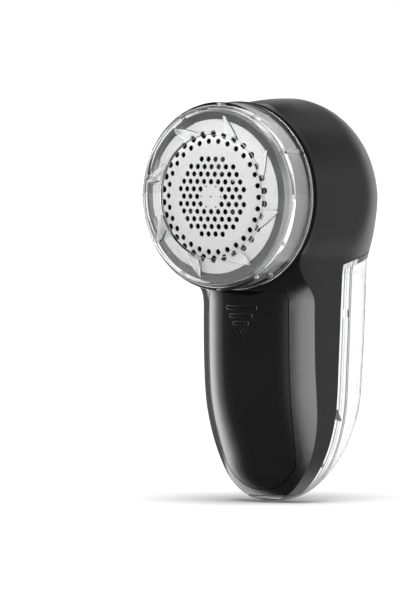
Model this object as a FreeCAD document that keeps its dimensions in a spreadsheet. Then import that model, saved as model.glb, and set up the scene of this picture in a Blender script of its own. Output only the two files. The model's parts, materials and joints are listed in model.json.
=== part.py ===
import FreeCAD, Part
import math
import os

V = FreeCAD.Vector
TURN = FreeCAD.Rotation
os.makedirs("parts", exist_ok=True)
doc = FreeCAD.newDocument("fabric_shaver")

# Row frame: +Z up, X across, the shaving head faces -Y. Depths are measured in Y from the
# rim of the guard's wall, so depth 0 is the rim and a negative depth stands in front of it.
SIZES = {
    "total_height": 145.2,
    "head_height": 110.6,
    "rim_y": -35.6,
    "handle_half_width": 24.6,
    "head_half_width": 33.2,
    "handle_centre": 40.0,
    "head_centre": 42.5,
    "handle_front_reach": 30.0,
    "head_front_reach": 60.0,
    "back_depth": 74.0,
    "tip_height": 40.0,
    "dome_height": 102.6,
    "handle_front_radius": 32.2,
    "shell_wall": 1.8,
    "front_thickness": 2.4,
    "collar_radius": 33.6,
    "collar_depth": 13.7,
    "opening_radius": 28.7,
    "groove_radius": 30.1,
    "guard_radius": 33.7,
    "guard_wall": 1.6,
    "guard_length": 11.2,
    "guard_front": -4.7,
    "hoop_radius": 22.0,
    "petal_tip_radius": 28.6,
    "petal_count": 8,
    "guard_nub_count": 12,
    "guard_rib_count": 4,
    "foil_radius": 27.45,
    "foil_rise": 3.15,
    "foil_sheet": 0.35,
    "foil_edge_depth": -1.4,
    "foil_ring_radius": 30.6,
    "hole_pitch": 3.08,
    "hole_radius": 1.0,
    "outer_hole_radius": 1.2,
    "dot_radius": 0.35,
    "ring_hole_count": 30,
    "inner_ring_radius": 19.8,
    "outer_ring_radius": 22.2,
    "lug_count": 3,
    "blade_count": 3,
    "motor_pole_count": 3,
    "vane_count": 6,
    "cutter_radius": 21.8,
    "blade_thickness": 0.45,
    "chamber_radius": 25.8,
    "chamber_wall": 1.0,
    "shaft_radius": 1.0,
    "motor_radius": 12.0,
    "duct_half_width": 9.0,
    "cover_half_width": 17.4,
    "cover_top": 77.7,
    "cover_thickness": 1.8,
    "cover_gap": 0.25,
    "bin_wall": 1.3,
    "cell_radius": 7.0,
    "cell_length": 50.5,
    "cell_spacing": 7.3,
    "cell_depth": 27.4,
    "cell_base": 26.8,
    "knob_width": 9.0,
    "knob_height": 13.0,
    "switch_height": 104.0,
    "switch_travel": 5.0,
}

sheet = doc.addObject("Spreadsheet::Sheet", "Sheet")
for row, (name, amount) in enumerate(SIZES.items(), start=1):
    sheet.set(f"A{row}", name)
    sheet.set(f"B{row}", str(amount))
    sheet.setAlias(f"B{row}", name)
doc.recompute()


def size(name):
    """A driving dimension, read back from the sheet."""
    return float(getattr(sheet, name))


nodes = []


def node(obj, label):
    """Registers a finished sub-part under its node name."""
    obj.Label = label
    nodes.append(obj)
    return obj


# ---------------------------------------------------------------- PartDesign helpers


def new_body(name):
    return doc.addObject("PartDesign::Body", name)


def head_frame(obj, spin=0):
    """Places a piece drawn about its own Z so that Z runs back along the head's axis."""
    obj.Placement = FreeCAD.Placement(V(0, 0, 0), TURN(V(1, 0, 0), -90) * TURN(V(0, 0, 1), spin))
    obj.setExpression("Placement.Base.y", "Sheet.rim_y")
    obj.setExpression("Placement.Base.z", "Sheet.head_height")


def row_frame(obj):
    """Places a piece drawn with depth as Y and height as Z."""
    obj.setExpression("Placement.Base.y", "Sheet.rim_y")


def sketch(body, name, role, offset=0):
    drawing = body.newObject("Sketcher::SketchObject", name)
    base = next(f for f in body.Origin.OriginFeatures if f.Role == role)
    drawing.AttachmentSupport = [(base, "")]
    drawing.MapMode = "FlatFace"
    drawing.AttachmentOffset = FreeCAD.Placement(V(0, 0, offset), TURN())
    return drawing


def draw_outline(drawing, points):
    """Closed outline of straight lines through (x, y) points."""
    corners = [V(x, y, 0) for x, y in points]
    for start, end in zip(corners, corners[1:] + corners[:1]):
        drawing.addGeometry(Part.LineSegment(start, end), False)


def draw_circle(drawing, x, y, radius):
    drawing.addGeometry(Part.Circle(V(x, y, 0), V(0, 0, 1), radius), False)


def draw_box(drawing, x0, y0, x1, y1):
    draw_outline(drawing, [(x0, y0), (x1, y0), (x1, y1), (x0, y1)])


def finish(body, feature):
    body.Tip = feature
    doc.recompute()
    return feature


def revolve(body, name, points):
    """Turns an outline of (radius, depth) points about the body's Z."""
    drawing = sketch(body, name + "_outline", "XZ_Plane")
    draw_outline(drawing, points)
    turned = body.newObject("PartDesign::Revolution", name)
    turned.Profile = drawing
    turned.ReferenceAxis = (drawing, ["V_Axis"])
    turned.Angle = 360
    return finish(body, turned)


def pad(body, drawing, name, length, both=False, back=False):
    """Pads a sketch along its normal, or evenly to both sides, or backwards."""
    feature = body.newObject("PartDesign::Pad", name)
    feature.Profile = drawing
    set_length(feature, length)
    feature.Midplane = both
    feature.Reversed = back
    return finish(body, feature)


def pocket(body, drawing, name, length, both=False, forward=True):
    """Cuts a sketch along its normal by a length, or evenly to both sides."""
    feature = body.newObject("PartDesign::Pocket", name)
    feature.Profile = drawing
    set_length(feature, length)
    feature.Midplane = both
    feature.Reversed = forward
    before = body.Shape.Volume
    finish(body, feature)
    if not body.Shape.Volume < before:
        raise RuntimeError(f"{name} cuts nothing")
    return feature


def set_length(feature, length):
    """A length is a number or an expression on the sheet."""
    if isinstance(length, str):
        feature.setExpression("Length", length)
    else:
        feature.Length = length


def polar(body, feature, name, count):
    """Repeats a feature about the body's Z, as often as the sheet says."""
    pattern = body.newObject("PartDesign::PolarPattern", name)
    pattern.Originals = [feature]
    pattern.Axis = (feature.Profile[0], ["N_Axis"])
    pattern.Angle = 360
    pattern.setExpression("Occurrences", count)
    return finish(body, pattern)


def around(radius, degrees):
    """Point on the head's face, clockwise from the top as seen from the front."""
    a = math.radians(degrees)
    return radius * math.sin(a), -radius * math.cos(a)


# ---------------------------------------------------------------- Part helpers


def feature(name, shape):
    """A shape that neither sketches nor primitives can give, placed in the row frame."""
    obj = doc.addObject("Part::Feature", name)
    obj.Shape = shape
    obj.Placement = FreeCAD.Placement(V(0, 0, 0), TURN())
    row_frame(obj)
    return obj


def block(name, x0, x1, d0, d1, z0, z1):
    """Box between two widths, depths and heights."""
    obj = doc.addObject("Part::Box", name)
    obj.Length = x1 - x0
    obj.Width = d1 - d0
    obj.Height = z1 - z0
    obj.Placement = FreeCAD.Placement(V(x0, 0, z0), TURN())
    obj.setExpression("Placement.Base.y", f"Sheet.rim_y + ({d0})")
    return obj


def rod(name, radius, x, depth, z, length, along="y"):
    """Cylinder from a point, running back in depth or up in height."""
    obj = doc.addObject("Part::Cylinder", name)
    obj.Radius = radius
    obj.Height = length
    spin = TURN(V(1, 0, 0), -90) if along == "y" else TURN()
    obj.Placement = FreeCAD.Placement(V(x, 0, z), spin)
    obj.setExpression("Placement.Base.y", f"Sheet.rim_y + ({depth})")
    return obj


def extrude_side(name, points, x0=-50, x1=50):
    """Prism with an outline of (depth, height) points, between two widths."""
    corners = [V(x0, d, z) for d, z in points]
    face = Part.Face(Part.makePolygon(corners + corners[:1]))
    return feature(name, face.extrude(V(x1 - x0, 0, 0)))


def extrude_front(name, points, d0, d1):
    """Prism with an outline of (x, height) points, between two depths."""
    corners = [V(x, d0, z) for x, z in points]
    face = Part.Face(Part.makePolygon(corners + corners[:1]))
    return feature(name, face.extrude(V(0, d1 - d0, 0)))


def fuse(name, shapes):
    obj = doc.addObject("Part::MultiFuse", name)
    obj.Shapes = shapes
    obj.Refine = False
    return obj


def common(name, shapes):
    """What all the shapes share, taken one after another."""
    share = shapes[0]
    for k, other in enumerate(shapes[1:], start=1):
        obj = doc.addObject("Part::Common", name if k == len(shapes) - 1 else f"{name}_{k}")
        obj.Base = share
        obj.Tool = other
        obj.Refine = False
        share = obj
    return share


def cut(name, base, tools):
    """Cuts tools out of a base, one after another."""
    left = base
    for k, tool in enumerate(tools, start=1):
        obj = doc.addObject("Part::Cut", name if k == len(tools) else f"{name}_{k}")
        obj.Base = left
        obj.Tool = tool
        obj.Refine = False
        left = obj
    return left


# ---------------------------------------------------------------- the moulded outer form


def mix(a, b, share):
    return a + (b - a) * share


def ease(start, end, x):
    """0 before start, 1 after end and a smooth step between."""
    share = min(max((x - start) / (end - start), 0), 1)
    return share * share * (3 - 2 * share)


def half_width(z, inset):
    """Half width at a height: the handle's, growing into the head's circle seen from the front."""
    handle, head = size("handle_half_width") - inset, size("head_half_width") - inset
    rise = z - size("head_height")
    if rise > 0:
        share = rise / (size("total_height") - size("head_height") - inset)
        return head * math.sqrt(1 - min(share, 1) ** 2)
    circle = math.sqrt(max(head * head - rise * rise, 0))
    return (circle**12 + handle**12) ** (1 / 12)


def body_outline(z, inset):
    """Half width, centre, front and back reach and their exponents at a height.

    The handle is a squarish oval that grows into the round pod behind the head; both ends
    close like a dome. The inset makes the same form smaller all round for its inside.
    """
    tip, dome = size("tip_height"), size("dome_height")
    down = min(max((tip - z) / (tip - inset), 0), 1)
    up = min(max((z - dome) / (size("total_height") - dome - inset), 0), 1)
    headward = ease(80, 104, z)
    narrowing = (1 - down**2.1) ** (1 / 2.1)
    shortening = (1 - down**1.9) ** (1 / 1.9)
    doming = math.sqrt(1 - up * up)
    centre = mix(size("handle_centre"), size("head_centre"), headward)
    back = size("back_depth") - 0.00104 * max(size("head_height") - z, 0) ** 2
    front = mix(size("handle_front_reach"), size("head_front_reach"), headward) - inset
    return (
        half_width(z, inset) * narrowing,
        centre - 4 * (1 - shortening),
        front * shortening * doming,
        (back - centre - inset) * shortening * doming,
        mix(6, 5, headward),
        mix(2.6, 2, headward),
    )


def outline_points(z, inset, count=48):
    """Points round the body's outline at a height, from the front middle round to it again."""
    width, centre, front, back, front_power, back_power = body_outline(z, inset)
    points = []
    for step in range(count):
        angle = math.radians(360 * step / count - 90)
        c, s = math.cos(angle), math.sin(angle)
        reach, power = (front, front_power) if s < 0 else (back, back_power)
        radius = ((abs(c) / width) ** power + (abs(s) / reach) ** power) ** (-1 / power)
        points.append(V(radius * c, centre + radius * s, z))
    return points + points[:1]


def body_form(inset):
    """Solid through the outlines, spaced closely where the ends close."""
    tip, dome = size("tip_height"), size("dome_height")
    rise = size("total_height") - dome - inset
    closing = (4, 10, 18, 27, 37, 48, 60, 72, 82)
    doming = (0, 8, 17, 27, 37, 47, 57, 66, 74, 81, 86)
    heights = [tip - (tip - inset) * math.cos(math.radians(a)) for a in closing]
    heights += [mix(tip, dome, step / 11) for step in range(11)]
    heights += [dome + rise * math.sin(math.radians(a)) for a in doming]
    surface = Part.BSplineSurface()
    surface.interpolate([outline_points(z, inset) for z in heights])
    side = surface.toShape()
    ends = []
    for z in (heights[0], heights[-1]):
        edge = next(e for e in side.Edges if abs(e.BoundBox.ZMin - z) + abs(e.BoundBox.ZMax - z) < 1e-3)
        ends.append(Part.Face(Part.Wire(edge)))
    shell = Part.makeShell([side] + ends)
    shell.sewShape()
    solid = Part.makeSolid(shell)
    return solid if solid.Volume > 0 else solid.reversed()


# Depth of the handle's front at the middle, by height: straight above, drawn back to the tip.
FRONT_LINE = [
    (-4, 36.0),
    (0, 31.5),
    (3, 28.2),
    (8, 25.0),
    (15, 22.2),
    (22, 19.4),
    (30, 16.7),
    (38, 14.9),
    (50, 13.9),
    (66, 13.6),
    (76, 13.7),
    (90, 13.7),
    (104, 13.7),
    (150, 13.7),
]


def front_depth(z):
    """Smooth curve through the front line's stations."""
    for k in range(len(FRONT_LINE) - 1):
        (z0, d0), (z1, d1) = FRONT_LINE[k], FRONT_LINE[k + 1]
        if z <= z1:
            break
    before = FRONT_LINE[max(k - 1, 0)]
    after = FRONT_LINE[min(k + 2, len(FRONT_LINE) - 1)]
    slope0 = (d1 - before[1]) / (z1 - before[0])
    slope1 = (after[1] - d0) / (after[0] - z0)
    u, span = (z - z0) / (z1 - z0), z1 - z0
    return (
        (2 * u**3 - 3 * u**2 + 1) * d0
        + (u**3 - 2 * u**2 + u) * span * slope0
        + (3 * u**2 - 2 * u**3) * d1
        + (u**3 - u**2) * span * slope1
    )


def arc_sag(x, bend):
    """How far back a round arc has come at x; straight on along its tangent past the crease."""
    near = min(abs(x), 28.0)
    root = math.sqrt(1 - (bend * near) ** 2)
    sag = bend * near * near / (1 + root)
    return sag + (abs(x) - near) * bend * near / root


def front_face():
    """The handle's front: a round arc across, flattening where it meets the head's face."""
    rows = []
    for z in range(-4, 152, 3):
        bend = (1 - ease(72, 92, z)) / size("handle_front_radius")
        rows.append([V(x, front_depth(z) + arc_sag(x, bend), z) for x in range(-40, 41, 4)])
    surface = Part.BSplineSurface()
    surface.interpolate(rows)
    return surface.toShape()


def front_layer(name, start, depth):
    """Everything between two distances behind the front face."""
    face = front_face()
    face.translate(V(0, start, 0))
    return feature(name, face.extrude(V(0, depth, 0)))


def lathe(name, points):
    """Turned helper solid on the head's axis."""
    body = new_body(name)
    revolve(body, name + "_turn", points)
    head_frame(body)
    return body


# ---------------------------------------------------------------- shaving head

# Clear guard: wall, sloped shoulder, plate and hoop in one turning, then petals, ribs and nubs.
outer, wall = size("guard_radius"), size("guard_wall")
hoop, front = size("hoop_radius"), size("guard_front")
guard = new_body("guard_cap_body")
revolve(
    guard,
    "guard_turn",
    [
        (outer, size("guard_length")),
        (outer, 0.5),
        (outer - 0.4, 0.0),
        (outer - 2.3, -2.7),
        (hoop + 1.5, front + 0.8),
        (hoop + 1.3, front),
        (hoop, front),
        (hoop, front + 1.6),
        (outer - 2.9, -1.8),
        (outer - wall, 0.4),
        (outer - wall, size("guard_length")),
    ],
)
petal = sketch(guard, "petal_outline", "XY_Plane", front)
tip, first = size("petal_tip_radius"), 10
swirl = [(tip, 0), (tip - 1.1, 9), (tip - 2.6, 18), (tip - 4.4, 27), (hoop + 0.9, 34), (hoop + 0.4, 34)]
swirl += [(hoop + 0.4, 20), (hoop + 0.4, 6), (tip - 3.0, 1.5)]
draw_outline(petal, [around(r, first + a) for r, a in swirl])
polar(guard, pad(guard, petal, "petal", 1.6), "petals", "Sheet.petal_count")
rib = sketch(guard, "guide_rib_outline", "XY_Plane", 1.2)
corners = [(outer - wall + 0.3, -0.8), (outer - wall + 0.3, 0.8), (outer - 3.0, 0.9), (outer - 3.0, -0.9)]
draw_outline(rib, [around(r, 60 + a) for r, a in corners])
rib_pad = pad(guard, rib, "guide_rib", "Sheet.guard_length - 1.4")
polar(guard, rib_pad, "guide_ribs", "Sheet.guard_rib_count")
nub = sketch(guard, "nub_outline", "XY_Plane", -0.3)
draw_circle(nub, *around(outer - 0.55, 0), 0.5)
polar(guard, pad(guard, nub, "nub", 2.4), "nubs", "Sheet.guard_nub_count")
head_frame(guard)
node(guard, "guard_cap")

# Foil ring: face lip over the foil, outer wall, and a spigot with bayonet lugs behind.
face, ring = size("foil_edge_depth"), size("foil_ring_radius")
foil_ring = new_body("foil_ring_body")
revolve(
    foil_ring,
    "foil_ring_turn",
    [
        (27.55, face + 0.15),
        (27.7, face),
        (ring - 0.5, face),
        (ring, face + 0.5),
        (ring, 13.55),
        (28.45, 13.55),
        (28.45, 15.6),
        (27.3, 15.6),
        (27.3, 12.0),
        (29.0, 10.8),
        (29.0, face + 0.6),
        (27.55, face + 0.6),
    ],
)
lug = sketch(foil_ring, "lug_outline", "XY_Plane", 14.7)
draw_outline(lug, [around(28.0, -9), around(29.7, -8), around(29.85, 0), around(29.7, 8), around(28.0, 9)])
polar(foil_ring, pad(foil_ring, lug, "lug", 0.9), "lugs", "Sheet.lug_count")
head_frame(foil_ring)
node(foil_ring, "foil_ring")


def dome_radius():
    """Radius of the sphere whose cap the foil is."""
    edge, rise = size("foil_radius"), size("foil_rise")
    return (edge * edge + rise * rise) / (2 * rise)


def dome_depth(radius, behind=0.0):
    """Depth of the foil's outer face at a radius, or of a face some way behind it."""
    ball = dome_radius()
    centre = size("foil_edge_depth") - size("foil_rise") + ball
    return centre - math.sqrt((ball - behind) ** 2 - radius * radius)


def draw_dome_arc(drawing, start, end, behind):
    """Arc along the foil's dome between two radii, in a sketch of radius and depth."""
    points = [V(r, dome_depth(r, behind), 0) for r in (start, (start + end) / 2, end)]
    drawing.addGeometry(Part.Arc(*points), False)
    return points[0], points[2]


def draw_chain(drawing, points):
    """Open run of straight lines through given points."""
    for start, end in zip(points, points[1:]):
        drawing.addGeometry(Part.LineSegment(start, end), False)


# Perforated foil: domed sheet with a skirt and a flat rim that sits under the ring's lip.
foil = new_body("foil_mesh_body")
profile = sketch(foil, "foil_outline", "XZ_Plane")
edge, sheet_wall = size("foil_radius"), size("foil_sheet")
top, rim_top = draw_dome_arc(profile, 0, edge, 0)
bottom, rim_bottom = draw_dome_arc(profile, 0, edge - 0.45, sheet_wall)
rim = [V(edge, -0.78, 0), V(28.8, -0.78, 0), V(28.8, -0.4, 0), V(edge - 0.45, -0.4, 0)]
draw_chain(profile, [rim_top] + rim + [rim_bottom])
draw_chain(profile, [bottom, top])
turned = foil.newObject("PartDesign::Revolution", "foil_turn")
turned.Profile = profile
turned.ReferenceAxis = (profile, ["V_Axis"])
turned.Angle = 360
finish(foil, turned)
holes = sketch(foil, "foil_holes", "XY_Plane", -8)
pitch = size("hole_pitch")
for line in range(-4, 5):
    for place in range(-6, 7):
        x = (place + 0.5 * (line % 2)) * pitch
        y = line * pitch * math.sqrt(3) / 2
        if 1.1 * pitch < math.hypot(x, y) <= 4.6 * pitch:
            draw_circle(holes, x, y, size("hole_radius"))
for line in (-5, 5):
    for place in (-2, -1, 0, 1):
        draw_circle(holes, (place + 0.5) * pitch, line * pitch * math.sqrt(3) / 2, size("hole_radius"))
draw_circle(holes, 0, 0, size("dot_radius"))
for k in range(6):
    draw_circle(holes, *around(1.37 * pitch, 90 + 60 * k), size("dot_radius"))
ring_holes = int(size("ring_hole_count"))
for k in range(ring_holes):
    draw_circle(holes, *around(size("inner_ring_radius"), (k + 0.5) * 360 / ring_holes), size("hole_radius"))
    draw_circle(holes, *around(size("outer_ring_radius"), k * 360 / ring_holes), size("outer_hole_radius"))
pocket(foil, holes, "perforations", 12)
head_frame(foil)
node(foil, "foil_mesh")

retainer = new_body("foil_retainer_body")
revolve(retainer, "retainer_turn", [(27.35, -0.35), (28.95, -0.35), (28.95, 1.2), (28.2, 1.2), (27.35, 0.4)])
head_frame(retainer)
node(retainer, "foil_retainer")

# Black seal between the guard's wall and the body's collar.
seal = new_body("neck_seal_body")
seal_points = [(30.75, 11.4), (33.5, 11.4), (33.8, 11.7), (33.8, 12.3), (33.4, 12.5), (33.8, 12.7)]
revolve(seal, "seal_turn", seal_points + [(33.8, 13.3), (33.5, 13.6), (30.75, 13.6)])
head_frame(seal)
node(seal, "neck_seal")

# ---------------------------------------------------------------- rotor and drive

carrier = new_body("rotor_carrier_body")
revolve(
    carrier,
    "hub_turn",
    [(0, -3.5), (2.6, -3.5), (4.6, -2.4), (5.2, 0.6), (5.2, 9.0), (2.55, 9.0), (2.55, -0.9), (0, -0.9)],
)
leaf = sketch(carrier, "leaf_outline", "XY_Plane", 0.6)
leaf_points = [(4.0, -40), (9.0, -38), (15.0, -34), (19.5, -30), (21.4, -22), (21.7, -8), (21.7, 6)]
draw_outline(leaf, [around(r, a) for r, a in leaf_points + [(20.8, 14), (16.0, 12), (10.0, 14), (4.0, 34)]])
polar(carrier, pad(carrier, leaf, "leaf", 1.6), "leaves", "Sheet.blade_count")
vane = sketch(carrier, "vane_outline", "XY_Plane", 2.0)
vane_points = [(4.4, -9), (13, 2), (20, -4), (20.1, -1), (13, 6), (4.4, 9)]
draw_outline(vane, [around(r, a) for r, a in vane_points])
polar(carrier, pad(carrier, vane, "vane", 6.4), "vanes", "Sheet.vane_count")
head_frame(carrier)
node(carrier, "rotor_carrier")

for k in range(int(size("blade_count"))):
    blade = new_body(f"cutter_blade_{k + 1}_body")
    side = sketch(blade, "blade_outline", "XZ_Plane")
    inner_end, outer_end = draw_dome_arc(side, 6.0, size("cutter_radius"), 0.75)
    tail = [V(size("cutter_radius") - 0.6, 0.5, 0), V(6.6, 0.5, 0)]
    draw_chain(side, [outer_end] + tail + [inner_end])
    pad(blade, side, "blade", "Sheet.blade_thickness", both=True)
    foot = sketch(blade, "foot_outline", "XY_Plane", 0.1)
    draw_box(foot, 8.0, 0, 19.0, 2.2)
    pad(blade, foot, "foot", 0.4)
    head_frame(blade, -90 + 120 * k)
    node(blade, f"cutter_blade_{k + 1}")

coupler = new_body("drive_coupler_body")
coupler_points = [(0, -0.8), (2.5, -0.8), (2.5, 9.1), (3.0, 9.1), (3.0, 11.2), (2.2, 11.2)]
revolve(coupler, "coupler_turn", coupler_points + [(2.2, 15), (1, 15), (1, 4.5), (0, 4.5)])
head_frame(coupler)
node(coupler, "drive_coupler")

shaft = new_body("motor_shaft_body")
drawing = sketch(shaft, "shaft_outline", "XY_Plane", 4.6)
draw_circle(drawing, 0, 0, size("shaft_radius"))
pad(shaft, drawing, "shaft", 42.6)
head_frame(shaft)
node(shaft, "motor_shaft")

armature = new_body("motor_armature_body")
revolve(
    armature,
    "armature_turn",
    [(1, 24.5), (3, 24.5), (3, 26), (7.4, 26), (7.4, 39), (3, 39), (2.6, 40), (2.6, 44), (1, 44)],
)
slot = sketch(armature, "winding_slot_outline", "XY_Plane", 25)
draw_box(slot, -0.9, 4.2, 0.9, 8.0)
polar(armature, pocket(armature, slot, "winding_slot", 16), "winding_slots", "Sheet.motor_pole_count")
head_frame(armature)
node(armature, "motor_armature")

can = new_body("motor_can_body")
outer = size("motor_radius")
revolve(
    can,
    "can_turn",
    [
        (1.06, 19.6),
        (2.95, 19.6),
        (2.95, 21.0),
        (outer - 0.6, 21.0),
        (outer, 21.6),
        (outer, 44.8),
        (outer - 0.8, 44.8),
        (outer - 0.8, 22.0),
        (2.95, 22.0),
        (2.95, 23.4),
        (1.06, 23.4),
    ],
)
screw_holes = sketch(can, "can_screw_outline", "XY_Plane", 20)
for x in (-8, 8):
    draw_circle(screw_holes, x, 0, 0.9)
pocket(can, screw_holes, "can_screw_holes", 3)
head_frame(can)
node(can, "motor_can")

for k, name in enumerate(("motor_magnet_left", "motor_magnet_right")):
    magnet = new_body(name + "_body")
    drawing = sketch(magnet, name + "_outline", "XY_Plane", 25.5)
    points = [around(size("motor_radius") - 0.85, a) for a in range(35, 146, 11)]
    points += [around(7.9, a) for a in range(145, 34, -11)]
    draw_outline(drawing, points)
    pad(magnet, drawing, name + "_pad", 14)
    head_frame(magnet, 180 * k)
    node(magnet, name)

endcap = new_body("motor_endcap_body")
revolve(
    endcap,
    "endcap_turn",
    [
        (1.06, 44.9),
        (outer - 0.2, 44.9),
        (outer - 0.2, 46.9),
        (outer - 1.2, 47.6),
        (3.2, 47.6),
        (3.2, 49.2),
        (0, 49.2),
        (0, 47.4),
        (1.06, 47.4),
    ],
)
head_frame(endcap)
node(endcap, "motor_endcap")

for x, name in ((-6.5, "motor_terminal_left"), (6.5, "motor_terminal_right")):
    tab = new_body(name + "_body")
    drawing = sketch(tab, name + "_outline", "XY_Plane", 47.62)
    draw_box(drawing, x - 1.2, -0.25, x + 1.2, 0.25)
    pad(tab, drawing, name + "_pad", 3.4)
    eye = sketch(tab, name + "_eye_outline", "XZ_Plane")
    draw_circle(eye, x, 49.8, 0.5)
    pocket(tab, eye, name + "_eye", 4, both=True)
    head_frame(tab)
    node(tab, name)

bracket = new_body("motor_bracket_body")
drawing = sketch(bracket, "bracket_outline", "XY_Plane", 19.6)
draw_circle(drawing, 0, 0, 13.5)
draw_circle(drawing, 0, 0, 3.1)
for x in (-8, 8):
    draw_circle(drawing, x, 0, 0.95)
pad(bracket, drawing, "bracket_plate", 1.3)
head_frame(bracket)
node(bracket, "motor_bracket")

for x, name in ((-8, "motor_screw_left"), (8, "motor_screw_right")):
    screw = new_body(name + "_body")
    head = [(0, 16.7), (1.5, 16.7), (1.7, 17.0), (1.7, 18.25), (0.85, 18.25), (0.85, 23.2), (0, 23.2)]
    revolve(screw, name + "_turn", head)
    cross = sketch(screw, name + "_cross_outline", "XY_Plane", 16.7)
    draw_box(cross, -1.1, -0.2, 1.1, 0.2)
    pocket(screw, cross, name + "_slot", 0.6)
    head_frame(screw)
    screw.Placement.Base.x = x
    node(screw, name)

# Fan chamber: cup round the rotor, clamp flange, and the duct that falls to the lint box.
cup, cup_wall = size("chamber_radius"), size("chamber_wall")
chamber = new_body("fan_chamber_body")
revolve(
    chamber,
    "cup_turn",
    [
        (cup, 3.0),
        (cup + cup_wall, 3.0),
        (cup + cup_wall, 16.3),
        (31.0, 16.3),
        (31.0, 17.5),
        (cup + cup_wall, 17.5),
        (cup + cup_wall - 0.6, 19.5),
        (3.4, 19.5),
        (3.4, 18.3),
        (cup - 0.8, 18.3),
        (cup, 17.5),
    ],
)
axis = size("head_height")
duct = sketch(chamber, "duct_outline", "YZ_Plane")
duct_outer = [(18.9, 83.3), (36, 78.8), (41.2, 76.9), (41.2, 85.0), (19.4, 91.9), (18.9, 91.9)]
draw_outline(duct, [(axis - z, depth) for depth, z in duct_outer])
pad(chamber, duct, "duct", "2 * (Sheet.duct_half_width + 1.1)", both=True)
bore = sketch(chamber, "duct_bore_outline", "YZ_Plane")
duct_inner = [(17.4, 85.3), (19.4, 84.5), (36, 79.7), (42.5, 77.5), (42.5, 83.4), (19.4, 90.8), (17.4, 90.8)]
draw_outline(bore, [(axis - z, depth) for depth, z in duct_inner])
pocket(chamber, bore, "duct_bore", "2 * Sheet.duct_half_width", both=True)
screw_holes = sketch(chamber, "chamber_screw_outline", "XY_Plane", 17)
for x in (-8, 8):
    draw_circle(screw_holes, x, 0, 0.95)
pocket(chamber, screw_holes, "chamber_screw_holes", 3.5)
head_frame(chamber)
node(chamber, "fan_chamber")

# ---------------------------------------------------------------- shells, cover and lint box

collar, start = size("collar_radius"), size("collar_depth")
barrel = lathe(
    "barrel",
    [
        (0, start - 0.4),
        (collar, start - 0.4),
        (collar, 15.9),
        (32.9, 16.3),
        (32.9, 26),
        (32.2, 31),
        (30, 36),
        (26, 40),
        (0, 40),
    ],
)
barrel_inside = lathe(
    "barrel_inside",
    [(0, 16.0), (31.2, 16.0), (31.0, 19), (30.4, 24), (28.8, 30), (24, 36), (0, 36)],
)
outer_form = feature("outer_form", body_form(0))
inner_form = feature("inner_form", body_form(size("shell_wall")))
outer_skin = fuse("outer_skin", [outer_form, barrel])
panel = size("front_thickness")

# Side view of the lint box's zone: front edge, step under the tip and slanted top.
BIN_EDGE = [(15, 0.9), (36.4, 3.4), (42.0, 85.9), (95, 97.6), (95, -6), (15, -6)]
BIN_BODY = [(15, 0.6), (36.7, 3.1), (42.3, 85.6), (95, 97.3), (95, -6), (15, -6)]
WALL_ZONE = [(15, 2.9), (34.4, 5.4), (40.0, 87.9), (95, 100.1), (95, -6), (15, -6)]


def along_wall(start, z):
    """Depth at a height on a line that leans with the wall behind the cells."""
    return start + z * 5.6 / 82.5


bin_zone = extrude_side("bin_zone", BIN_EDGE)
wall_zone = extrude_side("wall_zone", WALL_ZONE)


def cover_outline(gap):
    """Outline of the battery cover as seen on the handle's front, made larger by a gap."""
    half, top = size("cover_half_width") + gap, size("cover_top") + gap
    right = [(half - 4, top), (half - 1.2, top - 1.0), (half, top - 4), (half, 42), (half - 0.4, 30)]
    right += [(half - 1.2, 21), (half - 2.4, 13.8 - gap), (half - 5.4, 9.6 - gap), (half - 9.4, 6.6 - gap)]
    right += [(half - 13.6, 5.0 - gap), (0, 4.6 - gap)]
    return right + [(-x, z) for x, z in reversed(right[:-1])]


def cover_prism(name, gap):
    """Prism that meets the front in the cover's outline, its sides along the cover's slanted travel."""
    travel = 60.0
    corners = []
    for x, z in cover_outline(gap):
        depth = front_depth(z) + arc_sag(x, 1 / size("handle_front_radius"))
        corners.append(V(x, -travel / 2, z - depth - travel / 2))
    face = Part.Face(Part.makePolygon(corners + corners[:1]))
    return feature(name, face.extrude(V(0, 2 * travel, 2 * travel)))


cover_gap, cover_wall = size("cover_gap"), size("cover_thickness")
cover_recess = common(
    "cover_recess",
    [
        cover_prism("recess_outline", cover_gap),
        front_layer("recess_band", -1, 1 + cover_wall + cover_gap),
    ],
)
mouth, groove = size("opening_radius"), size("groove_radius")
head_opening = lathe(
    "head_opening",
    [(0, 12), (mouth, 12), (mouth, 14.5), (groove, 14.5), (groove, 16.2), (31.2, 16.2), (31.2, 20), (0, 20)],
)
entries = []
for k in range(int(size("lug_count"))):
    entry = new_body(f"lug_entry_{k + 1}_body")
    drawing = sketch(entry, "entry_outline", "XY_Plane", 12.5)
    points = [around(r, a) for r, a in ((28, 31), (30.1, 31), (30.1, 41), (30.1, 51), (28, 51))]
    draw_outline(drawing, points)
    pad(entry, drawing, "entry", 3)
    head_frame(entry, 120 * k)
    entries.append(entry)
battery_opening = block("battery_opening", -15.0, 15.0, 5, 30, 25.6, 76.4)
bosses = []
boss_bores = []
SHELL_SCREWS = [("lower", 0, 12.0, 26.3), ("left", -18.8, 62.0, 22.0), ("right", 18.8, 62.0, 22.0)]
for name, x, z, depth in SHELL_SCREWS:
    bosses.append(rod(f"boss_{name}", 2.3, x, depth, z, along_wall(33.73, z) - depth))
    boss_bores.append(rod(f"boss_bore_{name}", 0.95, x, depth + 1, z, 40))
front_blank = common("front_blank", [outer_skin, front_layer("front_band", 0, panel)])
front_cut = cut("front_cut", front_blank, [bin_zone, cover_recess, head_opening, battery_opening] + entries)
bossed = fuse("front_bossed", [front_cut] + bosses)
front_shell = cut("front_shell_cut", bossed, boss_bores)
node(front_shell, "front_shell")

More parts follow.
